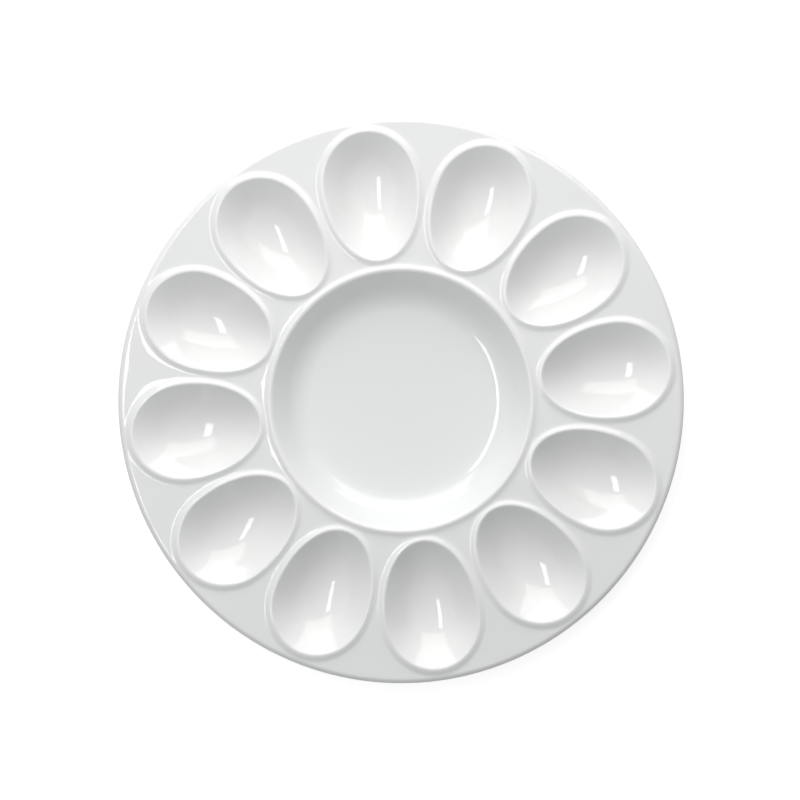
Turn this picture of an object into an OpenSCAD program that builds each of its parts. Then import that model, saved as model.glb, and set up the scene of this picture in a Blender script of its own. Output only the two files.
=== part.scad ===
// Round ceramic platter for halved eggs: a ring of egg-shaped wells, each with a
// raised rim, round one bowl in the middle, standing on a bare foot ring.
// Origin at the middle of the foot's standing face, +Z up, one well on +X.
// All lengths are in millimetres.

/* [Plate] */
// Outside diameter of the plate
plate_diameter = 286; // [285:0.5:300]
// Thickness of the deck between the wells
deck_thickness = 5; // [4:0.25:6]
// How much lower the deck lies at its edge than beside the middle bowl
deck_fall = 7.8; // [6:0.2:9]
// Radius of the edge where the deck rolls over
edge_roll = 3; // [2.4:0.1:3.6]
// Radius at the lower corner of the edge
edge_under_roll = 2; // [1.5:0.1:2.5]

/* [Middle bowl] */
// Diameter of the lip, crest to crest
lip_diameter = 132.6; // [128:0.2:134]
// Height of the lip above the deck
lip_height = 0.95; // [0.5:0.05:1.5]
// Radius of the lip's crest on the bowl's side
lip_roundness = 2.2; // [1.8:0.1:3.2]
// Depth from the lip's crest to the floor
bowl_depth = 13.8; // [12.8:0.1:16]
// Diameter of the flat floor
floor_diameter = 91; // [89:0.2:93]
// Radius between the floor and the wall
floor_fillet = 16.2; // [13:0.2:18]
// Thickness of the floor and the wall
bowl_wall = 5; // [4:0.25:5.5]
// Radius of the outside corner under the wall
bowl_corner_roundness = 3; // [2:0.25:4]

/* [Egg wells] */
// Number of wells round the plate
well_count = 12; // [8:1:12]
// Distance from the plate's middle to the widest place of a well
well_radius = 110.5; // [110:0.1:111]
// Width of a well, crest to crest
well_width = 48.3; // [45:0.1:49]
// Length from the widest place to the crest at the blunt end, outward
blunt_length = 27.1; // [25:0.1:27.6]
// Length from the widest place to the crest at the pointed end, inward
point_length = 39.2; // [37:0.1:39.8]
// Depth of a well below the crest of its rim
well_depth = 14.8; // [13:0.1:15.6]
// Radius across the bottom of a well
well_bottom_radius = 20.4; // [18:0.2:22]
// How many times longer than wide the level lines are at the bottom of a well
bottom_stretch = 1.59; // [1.4:0.01:1.7]
// How far the deepest place lies inward of the widest place
bottom_shift = 3.9; // [2:0.1:5]
// Thickness of a well's wall
well_wall = 4.2; // [3.5:0.1:5]
// Height of a well's rim above the deck
rim_height = 1.1; // [0.6:0.05:1.5]
// Radius of the rim's crest on the well's side
rim_roundness = 1.6; // [1.2:0.1:2.6]
// Width of a rim's slope from its crest down to the deck
rim_width = 4.3; // [3:0.1:4.4]
// Share below 1 that moves the steepest place of the slope towards the crest
rim_lean_share = 0.75; // [0.65:0.05:1]

/* [Foot ring] */
// Outside diameter of the foot
foot_diameter = 100; // [94:0.5:101]
// Width of the foot where it meets the body
foot_width = 6; // [5:0.25:8]
// Height of the foot
foot_height = 6.5; // [5.5:0.25:8]
// Width of the flat that stands on the table
foot_flat = 3; // [2:0.25:4]

/* [Hidden] */
edge_radius = plate_diameter / 2;
lip_radius = lip_diameter / 2;
floor_radius = floor_diameter / 2;
half_well = well_width / 2;
under_floor = foot_height;
floor_height = under_floor + bowl_wall;
lip_crest = floor_height + bowl_depth;

// how finely the form is divided: along a well's outer side, along the line
// between two wells, along a well's inner side, down the slope of a rim, over the
// short arcs and over the long arc at the bowl's floor
outer_steps = 8;
ray_steps = 9;
inner_steps = 4;
slope_steps = 3;
arc_steps = 3;
floor_steps = 6;
outer_loop = well_count * outer_steps;
inner_loop = well_count * inner_steps;
ring_points = outer_steps + 2 * ray_steps + inner_steps;
half_sector = 180 / well_count;

// the deck is a shallow dome, which falls faster the further out it is
deck_edge = edge_radius - edge_roll;
dome_share = deck_fall / (deck_edge * deck_edge - lip_radius * lip_radius);
function deck_at(r) = lip_crest - lip_height - dome_share * (r * r - lip_radius * lip_radius);
edge_tilt = atan(2 * dome_share * deck_edge);
roll_start = deck_edge + edge_roll * sin(edge_tilt);

function polar(r, a) = r * [cos(a), sin(a)];
function arc(centre, radius, from, to, steps = arc_steps) = [
    for (i = [0 : steps])
        centre + polar(radius, from + (to - from) * i / steps)
];

// slope of the straight wall that touches a hollow arc below and a round crest above
function wall_slope(hollow_centre, hollow_radius, crest_centre, crest_radius) =
    let (d = crest_centre - hollow_centre)
        atan2(d[1], d[0]) + asin((hollow_radius + crest_radius) / norm(d));

// a rim's slope is a leaning half wave from its crest down to the deck
function half_wave(height, distance) =
    let (share = min(abs(distance) / rim_width, 1))
        height * (1 + cos(180 * pow(share, rim_lean_share))) / 2;

// distance outside the crest line of the well on +X
function rim_distance(p) =
    let (
        u = p[0] - well_radius,
        v = p[1],
        length = u > 0 ? blunt_length : point_length,
        share = norm([u / length, v / half_well])
    )
        (share - 1) * share / norm([u / (length * length), v / (half_well * half_well)]);
function turn(p, a) = [p[0] * cos(a) - p[1] * sin(a), p[0] * sin(a) + p[1] * cos(a)];
function rims_at(p) =
    half_wave(rim_height, rim_distance(p))
    + half_wave(rim_height, rim_distance(turn(p, 2 * half_sector)))
    + half_wave(rim_height, rim_distance(turn(p, -2 * half_sector)));
function top_at(p) =
    [p[0], p[1], deck_at(norm(p)) + half_wave(lip_height, norm(p) - lip_radius) + rims_at(p)];

// Section across a well at its widest place, as height above the deck: a round
// bottom, a straight wall and a round crest. A wall's thickness grows it outward.
well_bottom = [0, rim_height - well_depth + well_bottom_radius];
rim_centre = [half_well, rim_height - rim_roundness];
well_slope = wall_slope(well_bottom, well_bottom_radius, rim_centre, rim_roundness);
hollow_end = well_bottom_radius * sin(well_slope);
crest_start = half_well - rim_roundness * sin(well_slope);
function well_height(x, wall) =
    let (radius = well_bottom_radius + wall, wall_start = radius * sin(well_slope))
        x < wall_start ? well_bottom[1] - sqrt(radius * radius - x * x)
        : wall > 0 || x < crest_start
            ? well_bottom[1] - radius * cos(well_slope) + (x - wall_start) * tan(well_slope)
        : rim_centre[1] + sqrt(rim_roundness * rim_roundness - (half_well - x) * (half_well - x));
bulge_bottom_radius = well_bottom_radius + well_wall;
bulge_wall_start = bulge_bottom_radius * sin(well_slope);
bulge_radius = bulge_wall_start
    + (bulge_bottom_radius * cos(well_slope) - well_bottom[1] - deck_thickness) / tan(well_slope);

// A level line of a well is drawn at a share of the rim's width. Its length goes from
// a stretched circle at the bottom to the egg shape at the rim, where the walls are
// equally steep all round, and its middle goes from the deepest place to the widest.
function stretch(share, full) =
    let (s = min(share, 1))
        bottom_stretch * pow(1 - s, 2) + full * (3 * s - 2 * s * s) + s * s - s;
function middle_at(share) =
    well_radius - bottom_shift * pow(1 - pow(min(share, 1), 2), 2);
// Its bottom lies level, and takes up the deck's slope only towards the rim.
function base_at(r, share) =
    deck_at(well_radius) + (deck_at(r) - deck_at(well_radius)) * pow(min(share, 1), 2);
function egg_line(x, angles, wall) = [
    for (a = angles)
        let (
            share = x / half_well,
            full = (cos(a) > 0 ? blunt_length : point_length) / half_well,
            p = [middle_at(share) + x * stretch(share, full) * cos(a), x * sin(a)],
            base_share = x / (wall > 0 ? bulge_radius : half_well)
        )
            [p[0], p[1], base_at(norm(p), base_share) + well_height(x, wall)]
];

// a sector's border: out along one side, and back round the other
function border(inner, outer) = concat(
    [for (i = [0 : outer_steps - 1]) polar(outer, half_sector * (2 * i / outer_steps - 1))],
    [for (i = [0 : ray_steps - 1]) polar(outer + (inner - outer) * i / ray_steps, half_sector)],
    [for (i = [0 : inner_steps - 1]) polar(inner, half_sector * (1 - 2 * i / inner_steps))],
    [for (i = [0 : ray_steps - 1]) polar(inner + (outer - inner) * i / ray_steps, -half_sector)]
);
// where the line from a well's middle to each border point crosses the crest line
function egg_angles(points) = [
    for (p = points)
        let (u = p[0] - well_radius)
            atan2(p[1] / half_well, u / (u > 0 ? blunt_length : point_length))
];

// The top of one sector, from the bottom of its well out to its border.
valley_radius = (lip_radius + well_radius - point_length) / 2;
top_border = border(valley_radius, roll_start);
top_angles = egg_angles(top_border);
hollow_radii = concat(
    [for (i = [1 : arc_steps]) well_bottom_radius * sin(well_slope * i / arc_steps)],
    [(hollow_end + crest_start) / 2, crest_start, half_well]
);
crest_line = egg_line(half_well, top_angles, 0);
top_rings = concat(
    [for (x = hollow_radii) egg_line(x, top_angles, 0)],
    [for (step = [1 : slope_steps]) [
        for (j = [0 : ring_points - 1])
            let (
                crest = [crest_line[j][0], crest_line[j][1]],
                way = top_border[j] - crest,
                share = min(rim_width / norm(way), slope_steps / (slope_steps + 1))
            )
                top_at(crest + way * share * step / slope_steps)
    ]]
);
top_middle = [middle_at(0), 0, deck_at(well_radius) + well_height(0, 0)];

// The underside of one sector, with the well's bulge.
bowl_fillet = [floor_radius, floor_height + floor_fillet];
bowl_crest = [lip_radius, lip_crest - lip_roundness];
bowl_slope = wall_slope(bowl_fillet, floor_fillet, bowl_crest, lip_roundness);
corner_radius = floor_radius + (floor_fillet + bowl_wall) * tan(bowl_slope / 2);
wall_end = corner_radius + (deck_at(lip_radius) - deck_thickness - under_floor) / tan(bowl_slope);
under_edge = deck_edge - edge_under_roll;
under_border = border(wall_end, under_edge);
under_angles = egg_angles(under_border);
under_rings = [
    for (x = [bulge_wall_start / 2, bulge_wall_start, bulge_radius])
        egg_line(x, under_angles, well_wall)
];
under_middle = [middle_at(0), 0, deck_at(well_radius) + well_height(0, well_wall)];

// Loops that run right round the plate, as radius and height: the edge from the
// top border to the underside's, the bowl from its border in to the floor, and
// the bowl's outside.
function raised(r, z, a) =
    let (p = polar(r, a - 2 * half_sector * round(a / (2 * half_sector))))
        [r * cos(a), r * sin(a), z + rims_at(p)];
function plain(r, z, a) = [r * cos(a), r * sin(a), z];
edge_centre = [deck_edge, deck_at(roll_start) - edge_roll * cos(edge_tilt)];
under_centre = [edge_radius - edge_under_roll, edge_centre[1]];
edge_top_profile = arc(edge_centre, edge_roll, 90 - edge_tilt, 0);
edge_under_profile = concat(
    [for (i = [1 : arc_steps]) arc(under_centre, edge_under_roll, 0, -90)[i]],
    [[under_edge, deck_at(under_edge) - deck_thickness]]
);
lip_top_profile = [
    for (r = [valley_radius, (valley_radius + lip_radius) / 2])
        [r, deck_at(r) + half_wave(lip_height, r - lip_radius)]
];
bowl_profile = concat(
    arc(bowl_crest, lip_roundness, 90, 90 + bowl_slope),
    arc(bowl_fillet, floor_fillet, 270 + bowl_slope, 270, floor_steps)
);
corner_centre = [corner_radius - bowl_corner_roundness * tan(bowl_slope / 2),
    under_floor + bowl_corner_roundness];
under_bowl_profile = concat(
    [[wall_end, deck_at(wall_end) - deck_thickness]],
    arc(corner_centre, bowl_corner_roundness, 270 + bowl_slope, 270)
);
function loop_angles(count) = [for (i = [0 : count - 1]) 360 * i / count - half_sector];
edge_loops = concat(
    [for (q = edge_top_profile) [for (a = loop_angles(outer_loop)) raised(q[0], q[1], a)]],
    [for (q = edge_under_profile) [for (a = loop_angles(outer_loop)) plain(q[0], q[1], a)]]
);
bowl_loops = concat(
    [for (q = lip_top_profile) [for (a = loop_angles(inner_loop)) raised(q[0], q[1], a)]],
    [for (q = bowl_profile) [for (a = loop_angles(inner_loop)) plain(q[0], q[1], a)]]
);
under_bowl_loops = [
    for (q = under_bowl_profile) [for (a = loop_angles(inner_loop)) plain(q[0], q[1], a)]
];

function flat(lists) = [for (list = lists) each list];
function turned(points, i) = [
    for (p = points)
        let (q = turn([p[0], p[1]], 2 * half_sector * i))
            [q[0], q[1], p[2]]
];
function sectors(points) = flat([for (i = [0 : well_count - 1]) turned(points, i)]);

// the points between two sectors' corners, on one line between two wells
ray_range = [outer_steps + 1 : outer_steps + ray_steps - 1];
top_ray = [for (j = ray_range) top_at(top_border[j])];
under_ray = [
    for (j = ray_range)
        let (p = under_border[j])
            [p[0], p[1], deck_at(norm(p)) - deck_thickness]
];

top_cell = concat([top_middle], flat(top_rings));
under_cell = concat([under_middle], flat(under_rings));
top_ray_start = well_count * len(top_cell);
edge_start = top_ray_start + well_count * len(top_ray);
bowl_start = edge_start + len(edge_loops) * outer_loop;
bowl_middle = bowl_start + len(bowl_loops) * inner_loop;
under_cell_start = bowl_middle + 1;
under_ray_start = under_cell_start + well_count * len(under_cell);
under_bowl_start = under_ray_start + well_count * len(under_ray);
under_bowl_middle = under_bowl_start + len(under_bowl_loops) * inner_loop;
platter_points = concat(
    sectors(top_cell),
    sectors(top_ray),
    flat(edge_loops),
    flat(bowl_loops),
    [[0, 0, floor_height]],
    sectors(under_cell),
    sectors(under_ray),
    flat(under_bowl_loops),
    [[0, 0, under_floor]]
);

// Faces between two closed rows of points, and from a middle point to a row.
// They face up where the first row is the inner one.
function band(first, second) = [
    for (i = [0 : len(first) - 1])
        let (n = (i + 1) % len(first))
            each [[first[i], first[n], second[n]], [first[i], second[n], second[i]]]
];
function fan(middle, row) = [
    for (i = [0 : len(row) - 1]) [middle, row[(i + 1) % len(row)], row[i]]
];
function reversed(row) = [for (i = [len(row) - 1 : -1 : 0]) row[i]];
function row_at(start, count) = [for (i = [0 : count - 1]) start + i];
function border_row(i, ray_start, outer_start, inner_start) =
    let (before = (i + well_count - 1) % well_count, inside = ray_steps - 1)
        concat(
            [for (j = [0 : outer_steps]) outer_start + (i * outer_steps + j) % outer_loop],
            [for (j = [0 : inside - 1]) ray_start + i * inside + j],
            [for (j = [0 : inner_steps]) inner_start + ((i + 1) * inner_steps - j) % inner_loop],
            [for (j = [1 : inside]) ray_start + before * inside + inside - j]
        );
function cell_rows(start, size, i, border_points) = concat(
    [for (ring = [0 : (size - 1) / ring_points - 1])
        row_at(start + i * size + 1 + ring * ring_points, ring_points)],
    [border_points]
);
function rows_up(rows) = flat([for (i = [0 : len(rows) - 2]) band(rows[i], rows[i + 1])]);
function rows_down(rows) = flat([for (i = [0 : len(rows) - 2]) band(rows[i + 1], rows[i])]);
function loop_rows(start, loops, count) = [
    for (i = [0 : len(loops) - 1]) row_at(start + i * count, count)
];

under_edge_start = edge_start + (len(edge_loops) - 1) * outer_loop;
edge_rows = loop_rows(edge_start, edge_loops, outer_loop);
bowl_rows = loop_rows(bowl_start, bowl_loops, inner_loop);
under_bowl_rows = loop_rows(under_bowl_start, under_bowl_loops, inner_loop);
top_faces = flat([
    for (i = [0 : well_count - 1])
        let (
            edge = border_row(i, top_ray_start, edge_start, bowl_start),
            rows = cell_rows(0, len(top_cell), i, edge)
        )
            concat(fan(i * len(top_cell), rows[0]), rows_up(rows))
]);
under_faces = flat([
    for (i = [0 : well_count - 1])
        let (
            edge = border_row(i, under_ray_start, under_edge_start, under_bowl_start),
            rows = cell_rows(under_cell_start, len(under_cell), i, edge),
            middle = under_cell_start + i * len(under_cell)
        )
            concat(fan(middle, reversed(rows[0])), rows_down(rows))
]);
platter_faces = concat(
    top_faces,
    rows_up(edge_rows),
    rows_down(bowl_rows),
    fan(bowl_middle, bowl_rows[len(bowl_rows) - 1]),
    under_faces,
    rows_up(under_bowl_rows),
    fan(under_bowl_middle, reversed(under_bowl_rows[len(under_bowl_rows) - 1]))
);

// The glazed body: deck, wells, middle bowl and rolled edge in one piece.
module platter() {
    color("white")
        polyhedron(points = platter_points, faces = platter_faces, convexity = 8);
}

// The bare ring that the body stands on, a little narrower where it meets the table.
module foot_ring() {
    outer = foot_diameter / 2;
    taper = (foot_width - foot_flat) / 2;
    color("tan")
        rotate_extrude()
            polygon([
                [outer - foot_width, foot_height],
                [outer, foot_height],
                [outer - taper, 0],
                [outer - foot_width + taper, 0]
            ]);
}

platter();
foot_ring();
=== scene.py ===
# %% [markdown]
# # A deviled egg platter in white glaze
#
# The real object is one piece of fired clay: a round deck with twelve egg-shaped
# wells, a raised rim round each, one bowl in the middle and a bare foot ring below.
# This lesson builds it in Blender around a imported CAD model, whose two parts, the
# platter and the foot ring, say how wide and how high everything is.

# %% Load the frame
import bpy
import bmesh
import math
import numpy as np
from mathutils import Matrix, Vector


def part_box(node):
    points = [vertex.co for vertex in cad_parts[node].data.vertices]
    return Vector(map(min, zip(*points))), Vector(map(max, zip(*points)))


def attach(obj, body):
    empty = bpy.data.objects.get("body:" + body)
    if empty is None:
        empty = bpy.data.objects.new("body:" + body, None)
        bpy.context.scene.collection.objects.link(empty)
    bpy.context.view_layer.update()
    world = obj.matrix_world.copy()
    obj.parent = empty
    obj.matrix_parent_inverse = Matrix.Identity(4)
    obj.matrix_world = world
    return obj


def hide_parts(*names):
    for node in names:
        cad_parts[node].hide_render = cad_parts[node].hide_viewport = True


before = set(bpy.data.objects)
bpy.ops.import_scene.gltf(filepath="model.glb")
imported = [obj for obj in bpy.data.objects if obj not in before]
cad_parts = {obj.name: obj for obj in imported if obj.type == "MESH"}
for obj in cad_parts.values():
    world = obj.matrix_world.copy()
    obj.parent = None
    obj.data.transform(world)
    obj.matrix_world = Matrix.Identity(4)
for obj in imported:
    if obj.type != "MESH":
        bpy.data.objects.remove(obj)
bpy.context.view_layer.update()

# %% [markdown]
# ## Sizes
#
# Everything is in metres. The plate's radius, its height and the foot come from the
# CAD boxes. The rest are the potter's sizes: where a well is widest, how far its two
# ends reach, how deep it is and how round its rim is. They match the CAD part, except
# that the rims' outer slopes are 0.7 mm narrower and lean a little less towards the
# crest, as the light on them shows.

# %% Sizes of the plate
mm = 0.001
_, platter_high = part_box("platter")
_, foot_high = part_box("foot_ring")

plate_radius = platter_high.x
lip_crest = platter_high.z
under_floor = foot_high.z
wells = 12
half_sector = math.pi / wells

deck_thickness = 5 * mm
deck_fall = 7.8 * mm
edge_roll = 3 * mm
edge_under_roll = 2 * mm
lip_radius = 66.3 * mm
lip_height = 0.95 * mm
lip_roundness = 2.2 * mm
floor_radius = 45.5 * mm
floor_fillet = 16.2 * mm
bowl_wall = 5 * mm
bowl_corner_roundness = 3 * mm
floor_height = under_floor + bowl_wall
print("plate radius", round(plate_radius, 4), "lip crest", round(lip_crest, 4))

# %% Sizes of a well
well_radius = 110.5 * mm
half_well = 24.15 * mm
blunt_length = 27.1 * mm
point_length = 39.2 * mm
well_depth = 14.8 * mm
well_bottom_radius = 20.4 * mm
bottom_stretch = 1.59
crest_pace = 1.0
bottom_shift = 3.9 * mm
well_wall = 4.2 * mm
rim_height = 1.1 * mm
rim_roundness = 1.6 * mm
rim_width = 3.6 * mm
rim_lean = 0.85
print("a well is", round((blunt_length + point_length) / mm, 1), "by",
      round(2 * half_well / mm, 1), "mm from crest to crest")

# %% [markdown]
# ## The rule of the form
#
# A plate like this is hard to model by hand, because twelve wells, one lip and a
# domed deck all have to flow into each other. It follows a rule, though: over every
# point of the plan there is one height of the top and one of the underside. So the
# form is written as two height functions, and a net laid in the plan picks them up.
# Towards the edge the glaze swells by up to 0.6 mm and makes the deck flatter there.
# The CAD part has the plain dome, without that swell. Its underside is coarser too: a
# sharp crease where a bulge leaves the deck, and flat facets that cut up to 1.1 mm off.

# %% Deck and its swell
deck_edge = plate_radius - edge_roll
dome_share = deck_fall / (deck_edge ** 2 - lip_radius ** 2)
swell_start, swell_height, swell_power = 100 * mm, 0.6 * mm, 3.5
swell_length = deck_edge - swell_start
swell_slope = swell_power * swell_height / swell_length
edge_tilt = math.atan(2 * dome_share * deck_edge - swell_slope)
roll_start = deck_edge + edge_roll * math.sin(edge_tilt)
print("tilt of the deck at its edge in degrees:", round(math.degrees(edge_tilt), 1))


def deck_at(r):
    """Height of the domed deck at a distance from the axis."""
    return lip_crest - lip_height - dome_share * (r ** 2 - lip_radius ** 2)


def swell_at(r):
    """What the glaze adds towards the edge, where it runs to."""
    return swell_height * np.clip((r - swell_start) / swell_length, 0, None) ** swell_power


# %% Rims and lip
def rim_slope(height, distance):
    """A rim's outer slope: a half wave that leans towards the crest, down to the deck."""
    share = np.minimum(np.abs(distance) / rim_width, 1)
    return height * (1 + np.cos(math.pi * share ** rim_lean)) / 2


def turned(x, y, angle):
    """Points turned about the plate's axis."""
    c, s = math.cos(angle), math.sin(angle)
    return x * c - y * s, x * s + y * c


# %% Slope of a well's wall
def slope_between(low, low_radius, high, high_radius):
    """Slope of the straight wall between a hollow arc below and a round crest above."""
    dx, dz = high[0] - low[0], high[1] - low[1]
    return math.atan2(dz, dx) + math.asin((low_radius + high_radius) / math.hypot(dx, dz))


well_middle_z = rim_height - well_depth + well_bottom_radius
rim_centre_z = rim_height - rim_roundness
well_slope = slope_between((0, well_middle_z), well_bottom_radius,
                           (half_well, rim_centre_z), rim_roundness)
print("slope of a well's wall in degrees:", round(math.degrees(well_slope), 1))

# %% Level lines of a well
level_rounds = 60


def stretch(share, full):
    """How many times longer than wide a level line is: its walls are evenly steep at the rim."""
    s = np.clip(share, 0, 1)
    return bottom_stretch * (1 - s) ** 2 + full * (3 * s - 2 * s ** 2) + crest_pace * (s ** 2 - s)


def shift(share):
    """How far a level line's middle lies inward of the crest line's."""
    return bottom_shift * np.clip(1 - share ** 2, 0, 1) ** 2


def level(x, y):
    """Which level line of the well on +X a point lies on: 0 at the bottom, 1 at the crest.

    A line's own stretch and shift depend on the answer, so it is found in rounds.
    """
    u = x - well_radius
    v = y / half_well
    full = np.where(u > 0, blunt_length, point_length) / half_well
    share = np.hypot(u / half_well / full, v)
    for _ in range(level_rounds):
        w = u + shift(share)
        full = np.where(w > 0, blunt_length, point_length) / half_well
        share = 0.5 * share + 0.5 * np.hypot(w / half_well / stretch(share, full), v)
    return share


# %% Section and base of a well
def well_height(x, wall):
    """Section across a well, measured from the deck: round bottom, straight wall, round crest."""
    radius = well_bottom_radius + wall
    wall_start = radius * math.sin(well_slope)
    crest_start = half_well - rim_roundness * math.sin(well_slope)
    bottom = well_middle_z - np.sqrt(np.maximum(radius ** 2 - x ** 2, 0))
    wall_foot = well_middle_z - radius * math.cos(well_slope)
    straight = wall_foot + (x - wall_start) * math.tan(well_slope)
    crest = rim_centre_z + np.sqrt(np.maximum(rim_roundness ** 2 - (half_well - x) ** 2, 0))
    wall_part = straight if wall > 0 else np.where(x < crest_start, straight, crest)
    return np.where(x < wall_start, bottom, wall_part)


def base_at(r, share):
    """What a well's depth is measured from: level at its bottom, the deck at its rim."""
    level_part = deck_at(well_radius)
    return level_part + (deck_at(r) - level_part) * np.clip(share, 0, 1) ** 2


bulge_radius = well_bottom_radius + well_wall
bulge_end = bulge_radius * math.sin(well_slope) + (
    bulge_radius * math.cos(well_slope) - well_middle_z - deck_thickness) / math.tan(well_slope)
print("half width of the bulge under a well in mm:", round(bulge_end / mm, 1))

# %% Distance from the crest line of a well
# keeps the division in a well's middle away from zero
smallest = 0.01


def rim_distance(x, y):
    """Distance outside the crest line of the well on +X."""
    u = x - well_radius
    length = np.where(u > 0, blunt_length, point_length)
    share = np.maximum(np.hypot(u / length, y / half_well), smallest)
    steepness = np.maximum(np.hypot(u / length ** 2, y / half_well ** 2), smallest)
    return (share - 1) * share / steepness


def rims_at(x, y):
    """Sum of the rims of the well on +X and of its two neighbours."""
    total = 0
    for angle in (0, 2 * half_sector, -2 * half_sector):
        total = total + rim_slope(rim_height, rim_distance(*turned(x, y, angle)))
    return total


# %% Height of the top and of the underside
def top_height(x, y):
    """Height of the glazed top over a point of the plan."""
    r = np.hypot(x, y)
    share = level(x, y)
    outside = rim_slope(lip_height, r - lip_radius) + rims_at(x, y)
    above = np.where(share < 1, well_height(share * half_well, 0), outside)
    return base_at(r, share) + swell_at(r) + above


def under_height(x, y):
    """Height of the underside: the deck's own thickness, with a bulge under each well.

    Deck and bulge blend softly where their heights differ by less than soft.
    """
    r = np.hypot(x, y)
    soft = 3 * mm
    reach = level(x, y) * half_well
    bulge = base_at(r, reach / bulge_end) - deck_at(r) + well_height(reach, well_wall)
    mix = np.clip(0.5 + 0.5 * (bulge + deck_thickness) / soft, 0, 1)
    return deck_at(r) + bulge * (1 - mix) - deck_thickness * mix - soft * mix * (1 - mix)


bottom_x = well_radius - bottom_shift
print("a well's bottom and the underside below it, in mm:",
      [round(float(height(bottom_x, 0.0)) / mm, 2) for height in (top_height, under_height)])

# %% [markdown]
# ## One slice of the net
#
# The plate repeats every 30 degrees, so only one slice is modelled. Rows of points
# follow the egg shape from the bottom of the well to its crest, spread over the rim
# and open out to the slice's border. That puts edges of the net along the rims, where
# the light catches, and a smooth patch everywhere else.

# %% Border of a slice
outer_steps, ray_steps, inner_steps = 20, 22, 12
valley_radius = (lip_radius + well_radius - point_length) / 2


def polar(r, angle):
    """A point of the plan from its distance and angle about the axis."""
    return np.array([r * math.cos(angle), r * math.sin(angle)])


def border(inner, outer):
    """Closed border of a slice in the plan, from its outer arc round and back."""
    h = half_sector
    points = [polar(outer, h * (2 * i / outer_steps - 1)) for i in range(outer_steps)]
    points += [polar(outer + (inner - outer) * i / ray_steps, h) for i in range(ray_steps)]
    points += [polar(inner, h * (1 - 2 * i / inner_steps)) for i in range(inner_steps)]
    points += [polar(inner + (outer - inner) * i / ray_steps, -h) for i in range(ray_steps)]
    return np.array(points)


top_border = border(valley_radius, roll_start)
print("points on the border of the top:", len(top_border))


# %% Rings of a slice
def egg_line(share, angles):
    """Plan of one level line of the well."""
    full = np.where(np.cos(angles) > 0, blunt_length, point_length) / half_well
    reach = share * half_well * stretch(np.float64(share), full)
    middle = well_radius - shift(np.float64(share))
    return np.stack([middle + reach * np.cos(angles), share * half_well * np.sin(angles)], 1)


def egg_angles(points):
    """Where the line from the well's middle to each border point crosses the crest line."""
    u = points[:, 0] - well_radius
    return np.arctan2(points[:, 1] / half_well, u / np.where(u > 0, blunt_length, point_length))


def cell_plan(edge, shares, widths):
    """Rings of a slice in the plan: level lines, then rows at real distances from the crest."""
    angles = egg_angles(edge)
    rings = [egg_line(share, angles) for share in shares]
    crest = rings[-1]
    way = edge - crest
    length = np.linalg.norm(way, axis=1, keepdims=True)
    last = len(widths)
    for i, width in enumerate(widths):
        rings.append(crest + way * np.minimum(width / length, (i + 1) / (last + 1)))
    far = rings[-1]
    for share in (0.33, 0.66, 1):
        rings.append(far + (edge - far) * share)
    return rings


# %% A net that grows patch by patch
class Net:
    """Points and faces of a mesh as they are added."""

    def __init__(self):
        self.points, self.faces = [], []

    def rows(self, rows, closed, up):
        """Quads between rows of points, each row closed to a ring or open."""
        start = len(self.points)
        count = len(rows[0])
        for row in rows:
            self.points.extend(map(tuple, row))
        for i in range(len(rows) - 1):
            for j in range(count if closed else count - 1):
                a, b = start + i * count + j, start + i * count + (j + 1) % count
                quad = (a, a + count, b + count, b)
                self.faces.append(quad if up else quad[::-1])

    def fan(self, middle, row, up):
        """Triangles from one point to a ring round it."""
        start = len(self.points)
        self.points.append(tuple(middle))
        self.points.extend(map(tuple, row))
        count = len(row)
        for j in range(count):
            tri = (start, start + 1 + j, start + 1 + (j + 1) % count)
            self.faces.append(tri if up else tri[::-1])


# %% Slope of the bowl's wall
fillet_centre = (floor_radius, floor_height + floor_fillet)
crest_centre = (lip_radius, lip_crest - lip_roundness)
bowl_slope = slope_between(fillet_centre, floor_fillet, crest_centre, lip_roundness)
slope_degrees = math.degrees(bowl_slope)
foot_of_wall = floor_radius + (floor_fillet + bowl_wall) * math.tan(bowl_slope / 2)
wall_rise = deck_at(lip_radius) - deck_thickness - under_floor
wall_end = foot_of_wall + wall_rise / math.tan(bowl_slope)
print("slope of the bowl's wall in degrees:", round(slope_degrees, 1))

# %% Rings of the top and of the underside
# shares of a well's half width where its section changes: the round bottom ends, the crest starts
hollow_share = well_bottom_radius * math.sin(well_slope) / half_well
crest_share = 1 - rim_roundness * math.sin(well_slope) / half_well
hollow_rings, wall_rings, crest_rings, rim_rings = 14, 8, 5, 9
under_rings, bulge_rings = 17, 3
bulge_reach = 3 * mm


def steps_to(start, stop, steps):
    """Equal steps from start to stop, without the start itself."""
    return np.linspace(start, stop, steps + 1)[1:]


top_shares = np.concatenate([
    steps_to(0, hollow_share, hollow_rings),
    steps_to(hollow_share, crest_share, wall_rings),
    steps_to(crest_share, 1, crest_rings),
])
top_widths = rim_width * steps_to(0, 1, rim_rings)
under_border = border(wall_end, deck_edge - edge_under_roll)
under_shares = steps_to(0, 0.98, under_rings)
under_widths = bulge_reach * steps_to(0, 1, bulge_rings)
print("rings of the top:", len(top_shares) + len(top_widths))


# %% Lay the net over both
def lifted(ring, height):
    """Points of the plan raised to their height."""
    return np.column_stack([ring, height(ring[:, 0], ring[:, 1])])


net = Net()
for edge, shares, widths, height, faces_up in (
    (top_border, top_shares, top_widths, top_height, True),
    (under_border, under_shares, under_widths, under_height, False),
):
    rings = [lifted(ring, height) for ring in cell_plan(edge, shares, widths)]
    net.rows(rings, True, faces_up)
    bottom_point = lifted(np.array([[bottom_x, 0.0]]), height)[0]
    net.fan(bottom_point, rings[0], faces_up)
print("points in the slice so far:", len(net.points))


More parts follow.
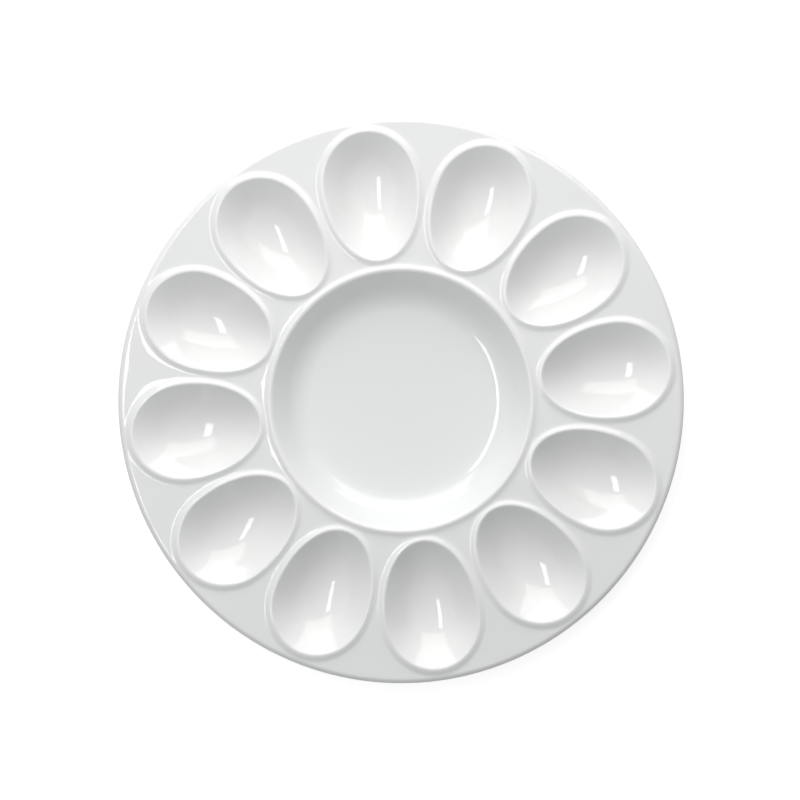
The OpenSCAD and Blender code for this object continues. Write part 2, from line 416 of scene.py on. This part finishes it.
# %% Profiles of the edge and of the lip
def arc(centre, radius, start, stop, steps):
    """Points of a profile on an arc, from one angle in degrees to another."""
    angles = [math.radians(degrees) for degrees in np.linspace(start, stop, steps + 1)]
    return [(centre[0] + radius * math.cos(a), centre[1] + radius * math.sin(a)) for a in angles]


roll_steps, under_roll_steps, lip_points = 12, 7, 8
edge_z = deck_at(roll_start) + float(swell_at(roll_start)) - edge_roll * math.cos(edge_tilt)
edge_top = arc((deck_edge, edge_z), edge_roll, 90 - math.degrees(edge_tilt), 0, roll_steps)
under_roll_centre = (plate_radius - edge_under_roll, edge_z)
edge_under = arc(under_roll_centre, edge_under_roll, 0, -90, under_roll_steps)
# the last row takes its height from the underside later on
edge_under.append((deck_edge - edge_under_roll, 0))

lip_top = [(r, float(deck_at(r) + rim_slope(lip_height, r - lip_radius)))
           for r in np.linspace(valley_radius, lip_radius, lip_points)]
print("middle of the rolled edge in mm:", round(edge_z / mm, 2))

# %% Profiles of the bowl's inside and underside
crest_steps, fillet_steps, corner_steps, wall_steps = 8, 10, 6, 8


def between_points(start, stop, shares):
    """Points on the line from start to stop."""
    start, stop = np.array(start), np.array(stop)
    return [tuple(start + (stop - start) * share) for share in shares]


bowl_profile = arc(crest_centre, lip_roundness, 90, 90 + slope_degrees, crest_steps)
bowl_fillet = arc(fillet_centre, floor_fillet, 270 + slope_degrees, 270, fillet_steps)
wall_shares = np.linspace(0, 1, wall_steps + 1)[1:-1]
bowl_profile += between_points(bowl_profile[-1], bowl_fillet[0], wall_shares)
bowl_profile += bowl_fillet
bowl_profile += [(floor_radius * share, floor_height) for share in (0.85, 0.65, 0.45, 0.25, 0)]

corner_centre = (foot_of_wall - bowl_corner_roundness * math.tan(bowl_slope / 2),
                 under_floor + bowl_corner_roundness)
under_arc = arc(corner_centre, bowl_corner_roundness, 270 + slope_degrees, 270, corner_steps)
under_top = (wall_end, deck_at(wall_end) - deck_thickness)
under_bowl = between_points(under_top, under_arc[0], (0, 0.2, 0.4, 0.6, 0.8)) + under_arc
under_bowl += [(foot_of_wall * share, under_floor) for share in (0.9, 0.7, 0.45, 0.2, 0)]
print("points across the bowl:", len(bowl_profile), "and below it:", len(under_bowl))


# %% Close the slice
def swept(profile, steps, raised):
    """Rows along a slice's arc, one for each point of a profile of radius and height."""
    angles = np.linspace(-half_sector, half_sector, steps + 1)
    rows = []
    for r, z in profile:
        x, y = r * np.cos(angles), r * np.sin(angles)
        rows.append(np.column_stack([x, y, z + (rims_at(x, y) if raised else 0 * x)]))
    return rows


def seat_under(row):
    """Give a row of points the underside's height, so that it meets the net there."""
    row[:, 2] = under_height(row[:, 0], row[:, 1])


net.rows(swept(edge_top, outer_steps, True), False, True)
edge_rows = swept(edge_under, outer_steps, False)
seat_under(edge_rows[-1])
net.rows(edge_rows, False, True)
net.rows(swept(lip_top, inner_steps, True), False, False)
net.rows(swept(bowl_profile, inner_steps, False), False, False)
under_rows = swept(under_bowl, inner_steps, False)
seat_under(under_rows[0])
net.rows(under_rows, False, True)
print("slice:", len(net.points), "points,", len(net.faces), "faces")


# %% The slice as an object
def placed(name, data):
    """A new object, linked to the scene."""
    thing = bpy.data.objects.new(name, data)
    bpy.context.scene.collection.objects.link(thing)
    return thing


slice_mesh = bpy.data.meshes.new("platter_slice")
slice_mesh.from_pydata(net.points, [], net.faces)
slice_object = placed("platter_slice", slice_mesh)

# %% [markdown]
# ## The glaze
#
# White glaze is a layer of glass over white clay. While it melts it draws back from
# sharp crests and runs off the steep walls of the wells, so that more of the warm clay
# shows there. It pools in the bowl, where it is thicker and cooler in colour. Two
# attributes of the mesh, thin and pool, will say where that is. The glass is smooth but
# never quite flat: long shallow waves bend the reflections of the lamps, and fine ones
# take the last sharpness from them. All of it is made by nodes, which the next cells
# wrap in small helpers.

# %% Nodes by name
def node_of(tree, kind, **values):
    """A new node of a tree, with its settings."""
    node = tree.nodes.new(kind)
    for name, value in values.items():
        setattr(node, name, value)
    return node


def link_all(tree, *pairs):
    """Link pairs of sockets, each an output and the input that it feeds."""
    for source, target in pairs:
        tree.links.new(source, target)


def noise(tree, place, scale, detail):
    """Noise on the piece's own coordinates: scale is in waves per metre."""
    node = node_of(tree, "ShaderNodeTexNoise")
    node.inputs["Scale"].default_value = scale
    node.inputs["Detail"].default_value = detail
    tree.links.new(place, node.inputs["Vector"])
    return node.outputs["Fac"]


def between(tree, source, low, high):
    """A number from 0 to 1 stretched to run from low to high."""
    node = node_of(tree, "ShaderNodeMapRange")
    node.inputs["To Min"].default_value = low
    node.inputs["To Max"].default_value = high
    tree.links.new(source, node.inputs["Value"])
    return node.outputs["Result"]


def blend_colour(tree, share, first, second):
    """First colour where the share is 0, second where it is 1."""
    node = node_of(tree, "ShaderNodeMix", data_type="RGBA")
    # of this node's many sockets, 0 is the share, 6 and 7 are the two colours, 2 is the result
    for number, value in ((0, share), (6, first), (7, second)):
        if isinstance(value, tuple):
            node.inputs[number].default_value = value
        else:
            tree.links.new(value, node.inputs[number])
    return node.outputs[2]


def bumped(tree, height, depth, below=None):
    """A bump of a real depth in metres, over an earlier bump where there is one."""
    node = node_of(tree, "ShaderNodeBump")
    node.inputs["Strength"].default_value = 1
    node.inputs["Distance"].default_value = depth
    tree.links.new(height, node.inputs["Height"])
    if below:
        tree.links.new(below, node.inputs["Normal"])
    return node.outputs["Normal"]


def material_of(name, ior):
    """A new material with a Principled shader: the material, its tree and the shader."""
    material = bpy.data.materials.new(name)
    material.use_nodes = True
    shader = material.node_tree.nodes["Principled BSDF"]
    shader.inputs["IOR"].default_value = ior
    return material, material.node_tree, shader


# %% Colour of the glaze
even_white = (0.866, 0.870, 0.869, 1)
warmer_white = (0.860, 0.862, 0.857, 1)
pooled_white = (0.862, 0.876, 0.867, 1)
thin_white = (0.870, 0.869, 0.862, 1)

glaze, gtree, glass = material_of("white_glaze", ior=1.5)
place = node_of(gtree, "ShaderNodeTexCoord").outputs["Object"]
thin = node_of(gtree, "ShaderNodeAttribute", attribute_name="thin").outputs["Fac"]
pool = node_of(gtree, "ShaderNodeAttribute", attribute_name="pool").outputs["Fac"]
cloud = noise(gtree, place, scale=14, detail=2)
tone = blend_colour(gtree, cloud, even_white, warmer_white)
tone = blend_colour(gtree, pool, tone, pooled_white)
tone = blend_colour(gtree, thin, tone, thin_white)
gtree.links.new(tone, glass.inputs["Base Color"])

# %% Gloss and waves of the glaze
gloss = between(gtree, noise(gtree, place, scale=60, detail=3), low=0.015, high=0.04)
waves = bumped(gtree, noise(gtree, place, scale=26, detail=1), depth=0.2 * mm)
skin = bumped(gtree, noise(gtree, place, scale=420, detail=2), depth=0.002 * mm, below=waves)
link_all(gtree, (gloss, glass.inputs["Roughness"]), (skin, glass.inputs["Normal"]))
print("nodes in the glaze:", len(gtree.nodes))

# %% [markdown]
# ## Twelve slices round the axis
#
# A Geometry Nodes tree repeats the slice, welds the copies where they meet and gives
# them the glaze, the way a potter's mould repeats one well round the plate. The count,
# the weld distance and the finish are inputs of the tree.

# %% Inputs of the tree
ring_tree = bpy.data.node_groups.new("Slices round the axis", "GeometryNodeTree")
ring_tree.is_modifier = True


def socket(name, kind, way="INPUT"):
    """A named input or output of the tree."""
    return ring_tree.interface.new_socket(name, in_out=way, socket_type="NodeSocket" + kind)


socket("Geometry", "Geometry")
count_socket = socket("Slices", "Int")
weld_socket = socket("Weld distance", "Float")
finish_socket = socket("Finish", "Material")
socket("Geometry", "Geometry", "OUTPUT")
group_in = node_of(ring_tree, "NodeGroupInput")
group_out = node_of(ring_tree, "NodeGroupOutput")
print("inputs of the tree:", [output.name for output in group_in.outputs if output.name])

# %% Nodes of the tree
copies = node_of(ring_tree, "GeometryNodeMeshLine")
copies.inputs["Offset"].default_value = (0, 0, 0)
on_points = node_of(ring_tree, "GeometryNodeInstanceOnPoints")
index = node_of(ring_tree, "GeometryNodeInputIndex")
turns_before = node_of(ring_tree, "ShaderNodeMath", operation="MULTIPLY")
turns_before.inputs[1].default_value = 2 * math.pi
slice_angle = node_of(ring_tree, "ShaderNodeMath", operation="DIVIDE")
as_vector = node_of(ring_tree, "ShaderNodeCombineXYZ")
realize = node_of(ring_tree, "GeometryNodeRealizeInstances")
weld = node_of(ring_tree, "GeometryNodeMergeByDistance")
smooth = node_of(ring_tree, "GeometryNodeSetShadeSmooth")
finish = node_of(ring_tree, "GeometryNodeSetMaterial")
link_all(
    ring_tree,
    (group_in.outputs["Slices"], copies.inputs["Count"]),
    (copies.outputs["Mesh"], on_points.inputs["Points"]),
    (group_in.outputs["Geometry"], on_points.inputs["Instance"]),
    (index.outputs["Index"], turns_before.inputs[0]),
    (turns_before.outputs[0], slice_angle.inputs[0]),
    (group_in.outputs["Slices"], slice_angle.inputs[1]),
    (slice_angle.outputs[0], as_vector.inputs["Z"]),
    (as_vector.outputs["Vector"], on_points.inputs["Rotation"]),
    (on_points.outputs["Instances"], realize.inputs["Geometry"]),
    (realize.outputs["Geometry"], weld.inputs["Geometry"]),
    (group_in.outputs["Weld distance"], weld.inputs["Distance"]),
    (weld.outputs["Geometry"], smooth.inputs["Geometry"]),
    (smooth.outputs["Geometry"], finish.inputs["Geometry"]),
    (group_in.outputs["Finish"], finish.inputs["Material"]),
    (finish.outputs["Geometry"], group_out.inputs["Geometry"]),
)
print("nodes and links of the tree:", len(ring_tree.nodes), len(ring_tree.links))

# %% Run it and keep the result as a plain mesh
around = slice_object.modifiers.new("Slices", "NODES")
around.node_group = ring_tree
around[count_socket.identifier] = wells
around[weld_socket.identifier] = 0.02 * mm
around[finish_socket.identifier] = glaze
evaluated = slice_object.evaluated_get(bpy.context.evaluated_depsgraph_get())
platter_mesh = bpy.data.meshes.new_from_object(evaluated)
slice_object.modifiers.remove(around)
platter = placed("glazed_platter", platter_mesh)
bpy.data.objects.remove(slice_object)


# %% Turn the faces outward and look for holes
def faced_outward(mesh):
    """Turn all faces outward. Gives the volume in cubic metres and the number of open edges."""
    check = bmesh.new()
    check.from_mesh(mesh)
    bmesh.ops.recalc_face_normals(check, faces=check.faces)
    open_edges = sum(1 for edge in check.edges if not edge.is_manifold)
    volume = check.calc_volume(signed=True)
    check.to_mesh(mesh)
    check.free()
    return volume, open_edges


cm3 = 1e-6
volume, open_edges = faced_outward(platter_mesh)
platter_mesh.calc_loop_triangles()
print("platter:", len(platter_mesh.vertices), "points,", len(platter_mesh.loop_triangles),
      "triangles,", open_edges, "open edges,", round(volume / cm3, 1), "cm3")

# %% [markdown]
# ## Where the glaze is thin and where it pools
#
# A crest is a place where a point stands above the mean of its neighbours. That height
# over the square of the distance between them is the curvature, so a rim with a small
# radius gets a high number and the flat deck gets none. The wells and the bowl are
# found by their depth below the deck.

# %% Read the mesh into arrays
point_count = len(platter_mesh.vertices)
points = np.empty(point_count * 3)
normals = np.empty(point_count * 3)
platter_mesh.vertices.foreach_get("co", points)
platter_mesh.vertices.foreach_get("normal", normals)
points, normals = points.reshape(-1, 3), normals.reshape(-1, 3)
ends = np.empty(len(platter_mesh.edges) * 2, dtype=np.int32)
platter_mesh.edges.foreach_get("vertices", ends)
# every edge counts twice, once from each of its ends
near = np.concatenate([ends[0::2], ends[1::2]])
other = np.concatenate([ends[1::2], ends[0::2]])
neighbours = np.bincount(near, minlength=point_count)
print("neighbours of a point:", neighbours.min(), "to", neighbours.max())

# %% Thin and pool as two attributes
full_depth = 3 * mm
sharp_crest = 1 / (3 * mm)
curvature_rounds, edge_rounds = 6, 4


def mean_of(values):
    """Each point's mean over its neighbours, of values that belong to the edges' far ends."""
    return np.bincount(near, weights=values, minlength=point_count) / neighbours


def smoothed(values, rounds):
    """Each value drawn towards the mean of its neighbours, a few times over."""
    for _ in range(rounds):
        values = 0.5 * values + 0.5 * mean_of(values[other])
    return values


step = points[other] - points[near]
bend = -2 * (step * normals[near]).sum(1) / (step ** 2).sum(1)
curvature = smoothed(mean_of(bend), curvature_rounds)
from_lip = np.hypot(points[:, 0], points[:, 1]) - lip_radius
below_deck = (deck_at(from_lip + lip_radius) - points[:, 2]) * (normals[:, 2] > 0)
in_well = below_deck / full_depth * (from_lip > 0)
in_bowl = below_deck / full_depth * (from_lip < 0)
for name, share in (("thin", np.maximum(curvature / sharp_crest, in_well)), ("pool", in_bowl)):
    layer = platter_mesh.attributes.new(name, "FLOAT", "POINT")
    values = smoothed(np.clip(share, 0, 1), edge_rounds).astype(np.float32)
    layer.data.foreach_set("value", values)
    print(name, "from", round(float(share.min()), 2), "to", round(float(share.max()), 2))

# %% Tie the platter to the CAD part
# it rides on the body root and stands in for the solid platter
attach(platter, "root")
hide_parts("platter")

# %% [markdown]
# ## The bare foot
#
# The ring that the plate stands on is wiped clean before firing, so that it doesn't
# stick to the kiln's shelf, and ground flat afterwards. A potter turns it on the wheel,
# so here it is a profile turned about the axis, with its corners rounded off as a
# grinding pad leaves them.

# %% Profile of the foot
foot_outer, foot_top = foot_high.x, foot_high.z
foot_width, foot_flat = 6 * mm, 3 * mm
foot_rounding, rounding_steps = 0.7 * mm, 6
taper = (foot_width - foot_flat) / 2
foot_inner = foot_outer - foot_width
corners = [(foot_inner, foot_top), (foot_inner + taper, 0),
           (foot_outer - taper, 0), (foot_outer, foot_top)]


def rounded_corner(before, corner, after):
    """A curve that cuts a corner of a profile, from one side to the other."""
    before, corner, after = map(np.array, (before, corner, after))
    start = corner + (before - corner) / np.linalg.norm(before - corner) * foot_rounding
    stop = corner + (after - corner) / np.linalg.norm(after - corner) * foot_rounding
    ts = np.linspace(0, 1, rounding_steps + 1)
    return [tuple(start * (1 - t) ** 2 + corner * 2 * t * (1 - t) + stop * t ** 2) for t in ts]


def halfway(one, two):
    """The point in the middle between two."""
    return tuple((np.array(one) + two) / 2)


foot_profile = [corners[0], halfway(corners[0], corners[1])]
foot_profile += rounded_corner(*corners[:3])
foot_profile += [(foot_outer - foot_width / 2, 0)]
foot_profile += rounded_corner(*corners[1:])
foot_profile += [halfway(corners[2], corners[3]), corners[3]]
foot_profile += [(foot_outer - foot_width * share, foot_top) for share in (0.33, 0.67)]
print("points of the foot's profile:", len(foot_profile))

# %% Turn the foot
foot_steps = 240
profile_points = len(foot_profile)
foot_points = [(r * math.cos(a), r * math.sin(a), z)
               for a in np.linspace(0, 2 * math.pi, foot_steps, endpoint=False)
               for r, z in foot_profile]
foot_faces = []
for i in range(foot_steps):
    for j in range(profile_points):
        a, b = i * profile_points, (i + 1) % foot_steps * profile_points
        following = (j + 1) % profile_points
        foot_faces.append((a + j, a + following, b + following, b + j))
foot_mesh = bpy.data.meshes.new("bare_foot_ring")
foot_mesh.from_pydata(foot_points, [], foot_faces)
volume, open_edges = faced_outward(foot_mesh)
for face in foot_mesh.polygons:
    face.use_smooth = True
foot = placed("bare_foot_ring", foot_mesh)
print("foot:", len(foot_points), "points,", open_edges, "open edges,",
      round(volume / cm3, 2), "cm3")

# %% [markdown]
# ## Bare clay
#
# The clay of the foot is dull, a little warm and grainy, with fine rings from the
# grinding and grey marks where it has stood. Grain and marks are noise on the piece's
# own coordinates, and the marks grow towards the table. The rings are noise on the
# distance from the axis alone, so they run round it as the grinding pad did.

# %% Colour and dullness of the clay
clay_white = (0.74, 0.71, 0.65, 1)
clay_sand = (0.66, 0.62, 0.54, 1)
table_grey = (0.42, 0.41, 0.39, 1)
worn_height = 0.9 * mm

clay, ctree, dull = material_of("bare_clay", ior=1.45)
clay_place = node_of(ctree, "ShaderNodeTexCoord").outputs["Object"]
parts = node_of(ctree, "ShaderNodeSeparateXYZ")
near_table = node_of(ctree, "ShaderNodeMapRange", clamp=True)
near_table.inputs["From Min"].default_value = worn_height
near_table.inputs["From Max"].default_value = 0
worn = node_of(ctree, "ShaderNodeMath", operation="MULTIPLY", use_clamp=True)
grain = noise(ctree, clay_place, scale=900, detail=4)
blotch = noise(ctree, clay_place, scale=70, detail=3)
clay_tone = blend_colour(ctree, grain, clay_white, clay_sand)
clay_tone = blend_colour(ctree, worn.outputs[0], clay_tone, table_grey)
link_all(
    ctree,
    (clay_place, parts.inputs[0]),
    (parts.outputs["Z"], near_table.inputs["Value"]),
    (near_table.outputs["Result"], worn.inputs[0]),
    (between(ctree, blotch, low=-0.6, high=1.3), worn.inputs[1]),
    (clay_tone, dull.inputs["Base Color"]),
    (between(ctree, blotch, low=0.62, high=0.85), dull.inputs["Roughness"]),
)

# %% Grinding rings and grain of the clay
from_axis = node_of(ctree, "ShaderNodeVectorMath", operation="LENGTH")
level_place = node_of(ctree, "ShaderNodeCombineXYZ")
ring_place = node_of(ctree, "ShaderNodeCombineXYZ")
link_all(
    ctree,
    (parts.outputs["X"], level_place.inputs["X"]),
    (parts.outputs["Y"], level_place.inputs["Y"]),
    (level_place.outputs[0], from_axis.inputs[0]),
    (from_axis.outputs["Value"], ring_place.inputs["X"]),
)
ring_noise = noise(ctree, ring_place.outputs[0], scale=3500, detail=2)
grinding = bumped(ctree, ring_noise, depth=0.03 * mm)
grains = bumped(ctree, grain, depth=0.06 * mm, below=grinding)
ctree.links.new(grains, dull.inputs["Normal"])
foot_mesh.materials.append(clay)
print("nodes in the clay:", len(ctree.nodes))

# %% Tie the foot to the CAD part
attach(foot, "root")
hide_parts("foot_ring")

# %% [markdown]
# ## Studio
#
# The photograph looks straight down, and the plate is turned a little against the
# picture. So right and up in the picture are turned the same way here.

# %% Picture directions
picture_turn = math.radians(-8.155)
right = Vector((math.cos(picture_turn), math.sin(picture_turn), 0))
up = Vector((-math.sin(picture_turn), math.cos(picture_turn), 0))
plate_middle = Vector((0, 0, 20 * mm))
print("the picture's right:", tuple(round(value, 3) for value in right))

# %% [markdown]
# ## Floor
#
# The picture's background is plain white. The floor is a matt, light grey sheet that
# also shines, but only towards the camera and in mirrored or clear surfaces, so that it
# looks white and hardly lights the plate from below. What it receives from the lamps is
# added to that, and so the plate's soft shadow stays on it.

# %% Make the floor
floor_half = 12.0
sheet_grey, floor_glow = 0.4, 0.82


def seen_share(tree):
    """1 for what the camera sees itself, mirrored or through glass, 0 for scattered light."""
    rays = node_of(tree, "ShaderNodeLightPath")
    share = rays.outputs["Is Camera Ray"]
    for kind in ("Is Glossy Ray", "Is Transmission Ray"):
        either = node_of(tree, "ShaderNodeMath", operation="MAXIMUM")
        link_all(tree, (share, either.inputs[0]), (rays.outputs[kind], either.inputs[1]))
        share = either.outputs[0]
    return share


pale = bpy.data.materials.new("pale_floor")
pale.use_nodes = True
ptree = pale.node_tree
sheet = node_of(ptree, "ShaderNodeBsdfDiffuse")
sheet.inputs["Color"].default_value = (sheet_grey, sheet_grey, sheet_grey, 1)
glow = node_of(ptree, "ShaderNodeEmission")
both = node_of(ptree, "ShaderNodeAddShader")
link_all(
    ptree,
    (between(ptree, seen_share(ptree), low=0, high=floor_glow), glow.inputs["Strength"]),
    (sheet.outputs[0], both.inputs[0]),
    (glow.outputs[0], both.inputs[1]),
    (both.outputs[0], ptree.nodes["Material Output"].inputs["Surface"]),
)
floor_corners = [(floor_half * x, floor_half * y, 0)
                 for x, y in ((-1, -1), (1, -1), (1, 1), (-1, 1))]
floor_mesh = bpy.data.meshes.new("floor")
floor_mesh.from_pydata(floor_corners, [], [(0, 1, 2, 3)])
floor_mesh.materials.append(pale)
floor = placed("floor", floor_mesh)
print("floor of", 2 * floor_half, "m")

# %% [markdown]
# ## Lights
#
# The reflections say where the lamps stood. A narrow, very bright strip left of the camera
# draws the short line in every well and the thin arc in the bowl. A wide key lamp beyond
# the top of the picture lights the wells' near walls and leaves their far walls grey. The
# room's pale wall behind that lamp mirrors in the rims, and a weak fill on the right takes
# the last darkness from the left walls. Each lamp is given by the way it stands in, its
# angle from straight above, its distance and size, and its brightness per area.


# %% Lamps round the plate
def soft_light(name, way, zenith, distance, across, along, brightness, slide=0, tint=(1, 1, 1)):
    """An area light that looks at the plate's middle, or past it where it slides sideways.

    way is counted in degrees from the picture's right, anticlockwise, and zenith from
    straight above. across is its size parallel to the table, along its size upwards.
    brightness is per area, so a larger lamp gives more light, and tint colours it.
    """
    data = bpy.data.lights.new(name, "AREA")
    data.shape = "RECTANGLE"
    data.size, data.size_y = across, along
    data.energy = brightness * math.pi * across * along
    data.color = tint
    lamp = placed(name, data)
    lamp.visible_camera = False
    way, zenith = math.radians(way), math.radians(zenith)
    level_way = right * math.cos(way) + up * math.sin(way)
    towards = level_way * math.sin(zenith) + Vector((0, 0, math.cos(zenith)))
    side = Vector((0, 0, 1)).cross(towards).normalized()
    lamp.location = plate_middle + towards * distance + side * slide
    lamp.rotation_euler = Matrix((side, towards.cross(side), towards)).transposed().to_euler()
    print(name, "lamp at", tuple(round(value, 2) for value in lamp.location))


soft_light("key", way=93, zenith=50, distance=3.0, across=3.74, along=1.9,
           brightness=2.23, tint=(1, 0.994, 0.978))
soft_light("far_wall", way=90, zenith=78, distance=3.0, across=4.4, along=1.2,
           brightness=2.03)
soft_light("right_fill", way=45, zenith=52, distance=3.0, across=1.6, along=1.8,
           brightness=0.35)
soft_light("strip", way=180, zenith=23.6, distance=3.27, across=2.3, along=0.58,
           brightness=7.0, slide=-0.12)

# %% [markdown]
# ## World
#
# The rest of the light comes from the room, a little cooler than the key lamp. The camera
# and the glaze's reflections see a plain white room.

# %% Make the world
room_light, room_seen = 0.27, 1.0
cool_room = (0.972, 0.992, 1.02, 1)
plain_white = (1, 1, 1, 1)

world = bpy.data.worlds.new("studio")
bpy.context.scene.world = world
world.use_nodes = True
wtree = world.node_tree
background = wtree.nodes["Background"]
world_share = seen_share(wtree)
link_all(
    wtree,
    (between(wtree, world_share, room_light, room_seen), background.inputs["Strength"]),
    (blend_colour(wtree, world_share, cool_room, plain_white), background.inputs["Color"]),
)
print("nodes in the world:", len(wtree.nodes))

# %% [markdown]
# ## Camera
#
# The camera hangs 2.5 m above the plate and looks straight down, so far away that the
# wells look alike all round. Its lens follows from the share of the picture that the
# plate takes. It is moved aside by about half a millimetre, because the plate's middle
# isn't quite in the middle of the photograph.

# %% Place the camera
camera_height = 2.5
plate_pixels, picture_pixels = 567, 800
moved_left, moved_up = 0.56 * mm, 0.24 * mm
sensor_width = 36

view_width = 2 * plate_radius / (plate_pixels / picture_pixels)
camera_data = bpy.data.cameras.new("camera")
camera_data.sensor_width = sensor_width
camera_data.lens = sensor_width * camera_height / view_width
camera = placed("camera", camera_data)
camera.location = (plate_middle + Vector((0, 0, camera_height))
                   - right * moved_left + up * moved_up)
camera.rotation_euler = (0, 0, picture_turn)
bpy.context.scene.camera = camera
bpy.context.scene.view_settings.view_transform = "Standard"
print("lens in millimetres:", round(camera_data.lens, 1))
